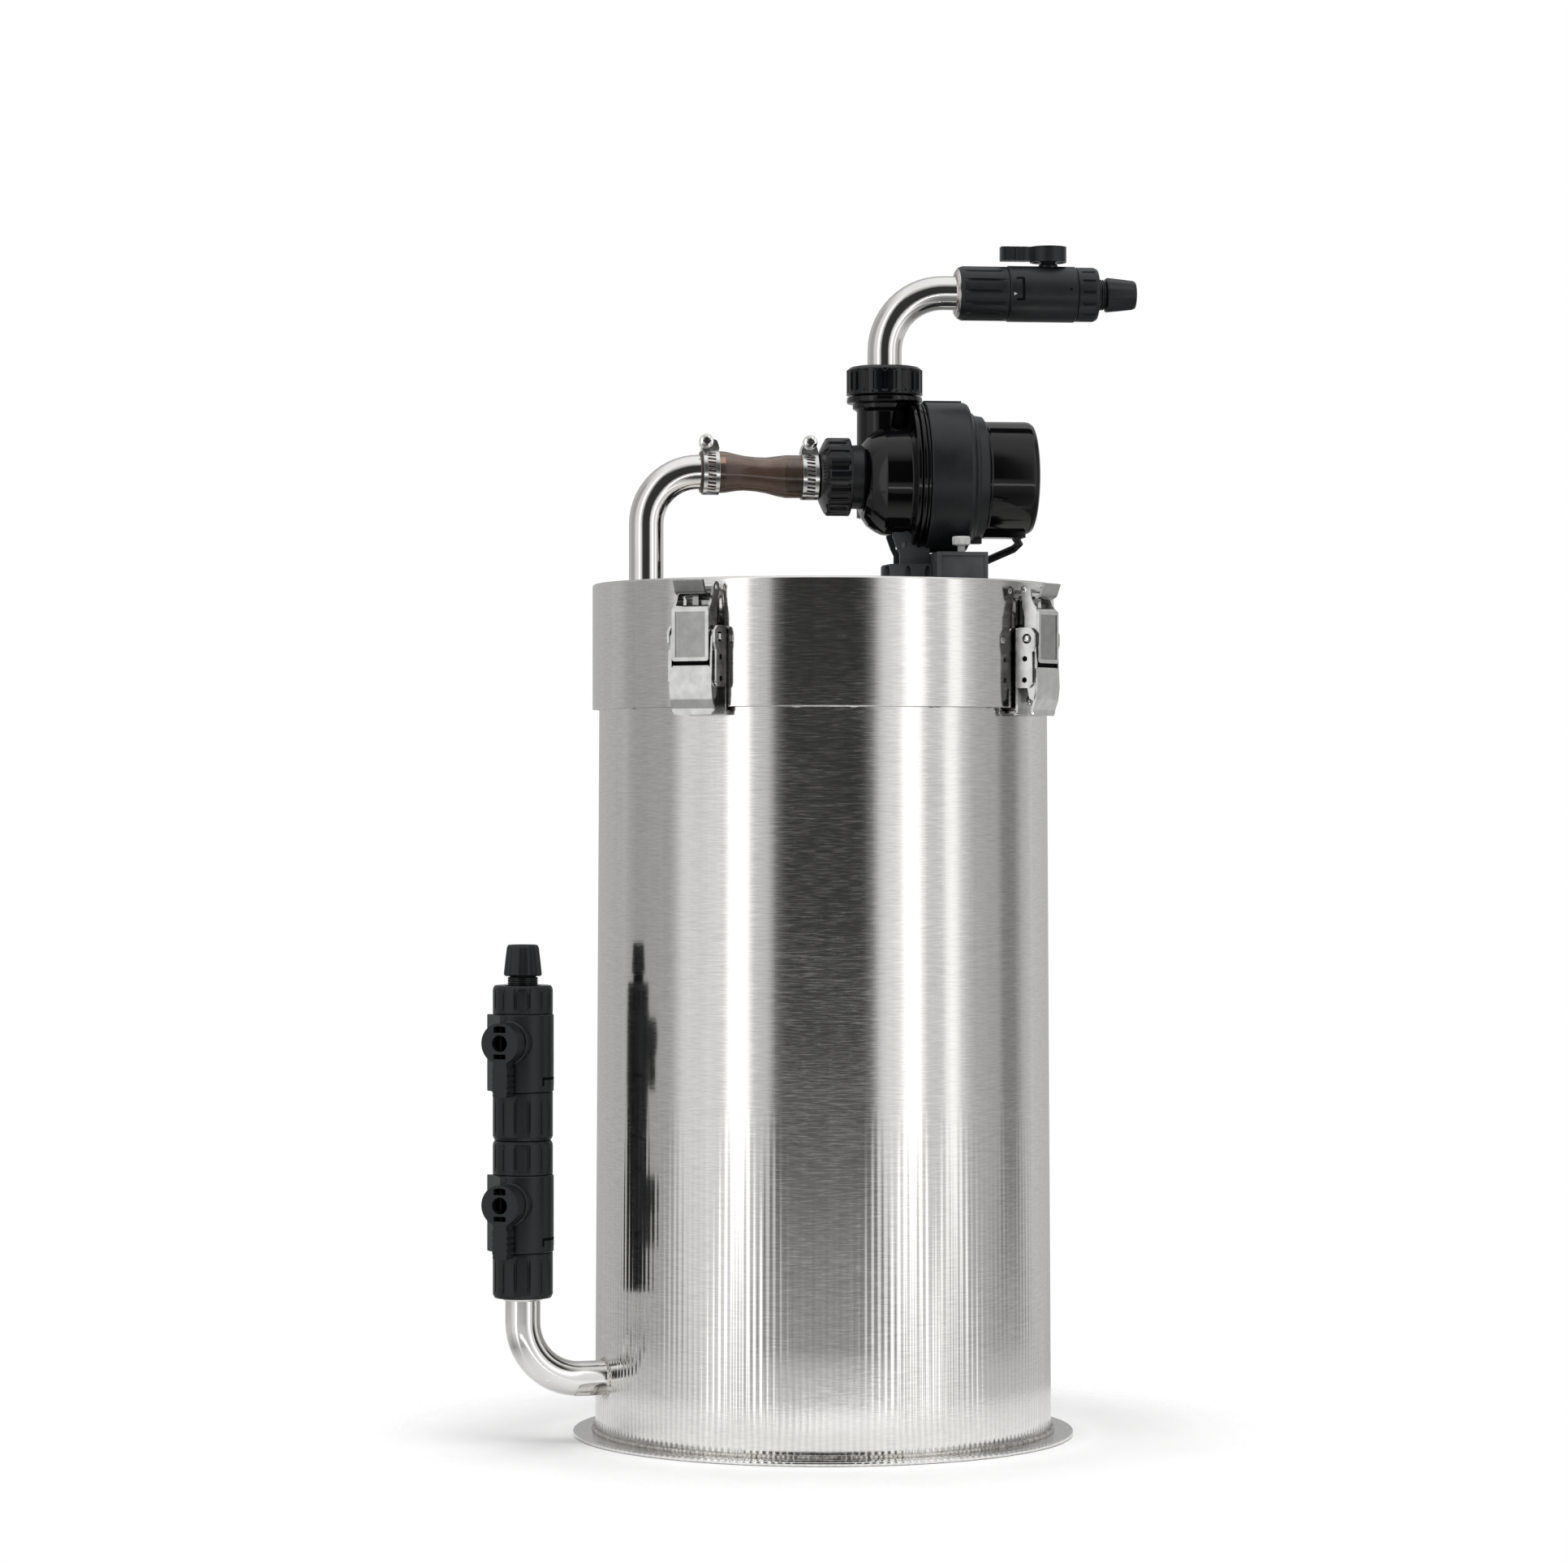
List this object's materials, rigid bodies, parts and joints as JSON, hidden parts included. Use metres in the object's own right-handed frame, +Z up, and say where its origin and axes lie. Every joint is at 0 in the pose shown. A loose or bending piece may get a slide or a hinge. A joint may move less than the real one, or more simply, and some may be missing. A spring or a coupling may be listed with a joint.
{
  "type": "canister filter",
  "caption": "Tall stainless barrel water filter: deep clamp-down lid with a canned-rotor pump and outlet tap on top, a riser of two taps on a low side inlet, and media baskets inside.",
  "frame": {"origin": "centre of the base plate's underside, which stands on the floor", "axes": "+Z up along the barrel's axis, -Y towards the front, +X to the outlet's side"},
  "size_m": [0.3608, 0.2766, 0.6594],
  "materials": {
    "barrel_steel": "brushed and satin, fine upright grain",
    "pipe_steel": "polished stainless tube",
    "pressed_steel": "satin pressed stainless",
    "matte_black": "matt charcoal black",
    "gloss_black": "glossy black",
    "foot_grey": "matt dark grey",
    "smoke_hose": "smoky brown clear hose, soft sheen",
    "clear_plastic": "milky clear",
    "black_rubber": "matt black",
    "white_ceramic": "matt, porous",
    "sponge": "open cell filter sponge",
    "copper_winding": "enamelled copper on a steel stack"
  },
  "bodies": {
    "barrel": {"barrel_shell": "barrel_steel", "base_plate": "barrel_steel", "inlet_elbow": "pipe_steel", "latch_base_front_left": "pressed_steel", "latch_base_front_right": "pressed_steel", "latch_base_rear_right": "pressed_steel", "latch_base_rear_left": "pressed_steel", "lower_tap_collar": "matte_black", "lower_tap_body": "matte_black", "lower_tap_end_collar": "matte_black", "upper_tap_collar": "matte_black", "upper_tap_body": "matte_black", "upper_tap_end_collar": "matte_black", "upper_tap_hose_nut": "matte_black"},
    "lid": {"lid": "barrel_steel", "lid_gasket": "black_rubber", "latch_strike_front_left": "pressed_steel", "latch_strike_front_right": "pressed_steel", "latch_strike_rear_right": "pressed_steel", "latch_strike_rear_left": "pressed_steel", "lid_elbow": "pipe_steel", "coupling_hose": "smoke_hose", "hose_clamp_left": "pressed_steel", "hose_clamp_right": "pressed_steel", "pump_inlet_tail": "matte_black", "inlet_union_nut": "gloss_black", "volute_housing": "gloss_black", "pump_body": "matte_black", "motor_can": "gloss_black", "stator": "copper_winding", "pump_foot": "foot_grey", "foot_block": "foot_grey", "thumb_screw": "clear_plastic", "outlet_union_nut": "gloss_black", "outlet_elbow": "pipe_steel", "outlet_tap_collar": "matte_black", "outlet_tap_body": "matte_black", "outlet_tap_end_collar": "matte_black", "outlet_tap_hose_nut": "matte_black", "lead_gland": "black_rubber", "pump_lead": "black_rubber", "lead_coil": "black_rubber", "lead_connector": "matte_black"},
    "media": {"lower_basket": "matte_black", "upper_basket": "matte_black", "basket_handle": "matte_black", "ceramic_media": "white_ceramic", "sponge_media": "sponge"},
    "rotor": {"impeller": "matte_black"},
    "lower_tap_handle": {"lower_tap_handle": "matte_black"},
    "upper_tap_handle": {"upper_tap_handle": "matte_black"},
    "outlet_tap_handle": {"outlet_tap_handle": "matte_black"},
    "lever_front_left": {"latch_lever_front_left": "pressed_steel"},
    "claw_front_left": {"latch_claw_front_left": "pressed_steel"},
    "lever_front_right": {"latch_lever_front_right": "pressed_steel"},
    "claw_front_right": {"latch_claw_front_right": "pressed_steel"},
    "lever_rear_right": {"latch_lever_rear_right": "pressed_steel"},
    "claw_rear_right": {"latch_claw_rear_right": "pressed_steel"},
    "lever_rear_left": {"latch_lever_rear_left": "pressed_steel"},
    "claw_rear_left": {"latch_claw_rear_left": "pressed_steel"}
  },
  "joints": [
    {"name": "lid_lift", "type": "slide", "parent": "barrel", "child": "lid", "axis": [0, 0, 1], "range_m": [0, 0.5]},
    {"name": "media_lift", "type": "slide", "parent": "barrel", "child": "media", "axis": [0, 0, 1], "range_m": [0, 0.44]},
    {"name": "rotor_spin", "type": "hinge", "parent": "lid", "child": "rotor", "pos_m": [0.0665, 0.00817, 0.529], "axis": [0.9925, 0.1219, 0], "continuous": true},
    {"name": "lever_hinge_front_left", "type": "hinge", "parent": "barrel", "child": "lever_front_left", "pos_m": [-0.06852, -0.11632, 0.437], "axis": [-0.8616, 0.5075, 0], "range_deg": [0, 90]},
    {"name": "claw_hinge_front_left", "type": "hinge", "parent": "lever_front_left", "child": "claw_front_left", "pos_m": [-0.06852, -0.11632, 0.428], "axis": [-0.8616, 0.5075, 0], "range_deg": [-90, 0]},
    {"name": "lever_hinge_front_right", "type": "hinge", "parent": "barrel", "child": "lever_front_right", "pos_m": [0.11632, -0.06852, 0.437], "axis": [-0.5075, -0.8616, 0], "range_deg": [0, 90]},
    {"name": "claw_hinge_front_right", "type": "hinge", "parent": "lever_front_right", "child": "claw_front_right", "pos_m": [0.11632, -0.06852, 0.428], "axis": [-0.5075, -0.8616, 0], "range_deg": [-90, 0]},
    {"name": "lever_hinge_rear_right", "type": "hinge", "parent": "barrel", "child": "lever_rear_right", "pos_m": [0.06852, 0.11632, 0.437], "axis": [0.8616, -0.5075, 0], "range_deg": [0, 90]},
    {"name": "claw_hinge_rear_right", "type": "hinge", "parent": "lever_rear_right", "child": "claw_rear_right", "pos_m": [0.06852, 0.11632, 0.428], "axis": [0.8616, -0.5075, 0], "range_deg": [-90, 0]},
    {"name": "lever_hinge_rear_left", "type": "hinge", "parent": "barrel", "child": "lever_rear_left", "pos_m": [-0.11632, 0.06852, 0.437], "axis": [0.5075, 0.8616, 0], "range_deg": [0, 90]},
    {"name": "claw_hinge_rear_left", "type": "hinge", "parent": "lever_rear_left", "child": "claw_rear_left", "pos_m": [-0.11632, 0.06852, 0.428], "axis": [0.5075, 0.8616, 0], "range_deg": [-90, 0]},
    {"name": "lower_tap_turn", "type": "hinge", "parent": "barrel", "child": "lower_tap_handle", "pos_m": [-0.16339, -0.05309, 0.132], "axis": [-0.4067, -0.9135, 0], "range_deg": [0, 90]},
    {"name": "upper_tap_turn", "type": "hinge", "parent": "barrel", "child": "upper_tap_handle", "pos_m": [-0.16339, -0.05309, 0.2193], "axis": [-0.4067, -0.9135, 0], "range_deg": [0, 90]},
    {"name": "outlet_tap_turn", "type": "hinge", "parent": "lid", "child": "outlet_tap_handle", "pos_m": [0.12623, 0.0296, 0.633], "axis": [0, 0, 1], "range_deg": [0, 90]}
  ],
  "couplings": [
    {"joint": "media_lift", "follows": "lid_lift", "ratio": 0.88},
    {"joint": "claw_hinge_front_left", "follows": "lever_hinge_front_left", "ratio": -1},
    {"joint": "claw_hinge_front_right", "follows": "lever_hinge_front_right", "ratio": -1},
    {"joint": "claw_hinge_rear_right", "follows": "lever_hinge_rear_right", "ratio": -1},
    {"joint": "claw_hinge_rear_left", "follows": "lever_hinge_rear_left", "ratio": -1}
  ]
}
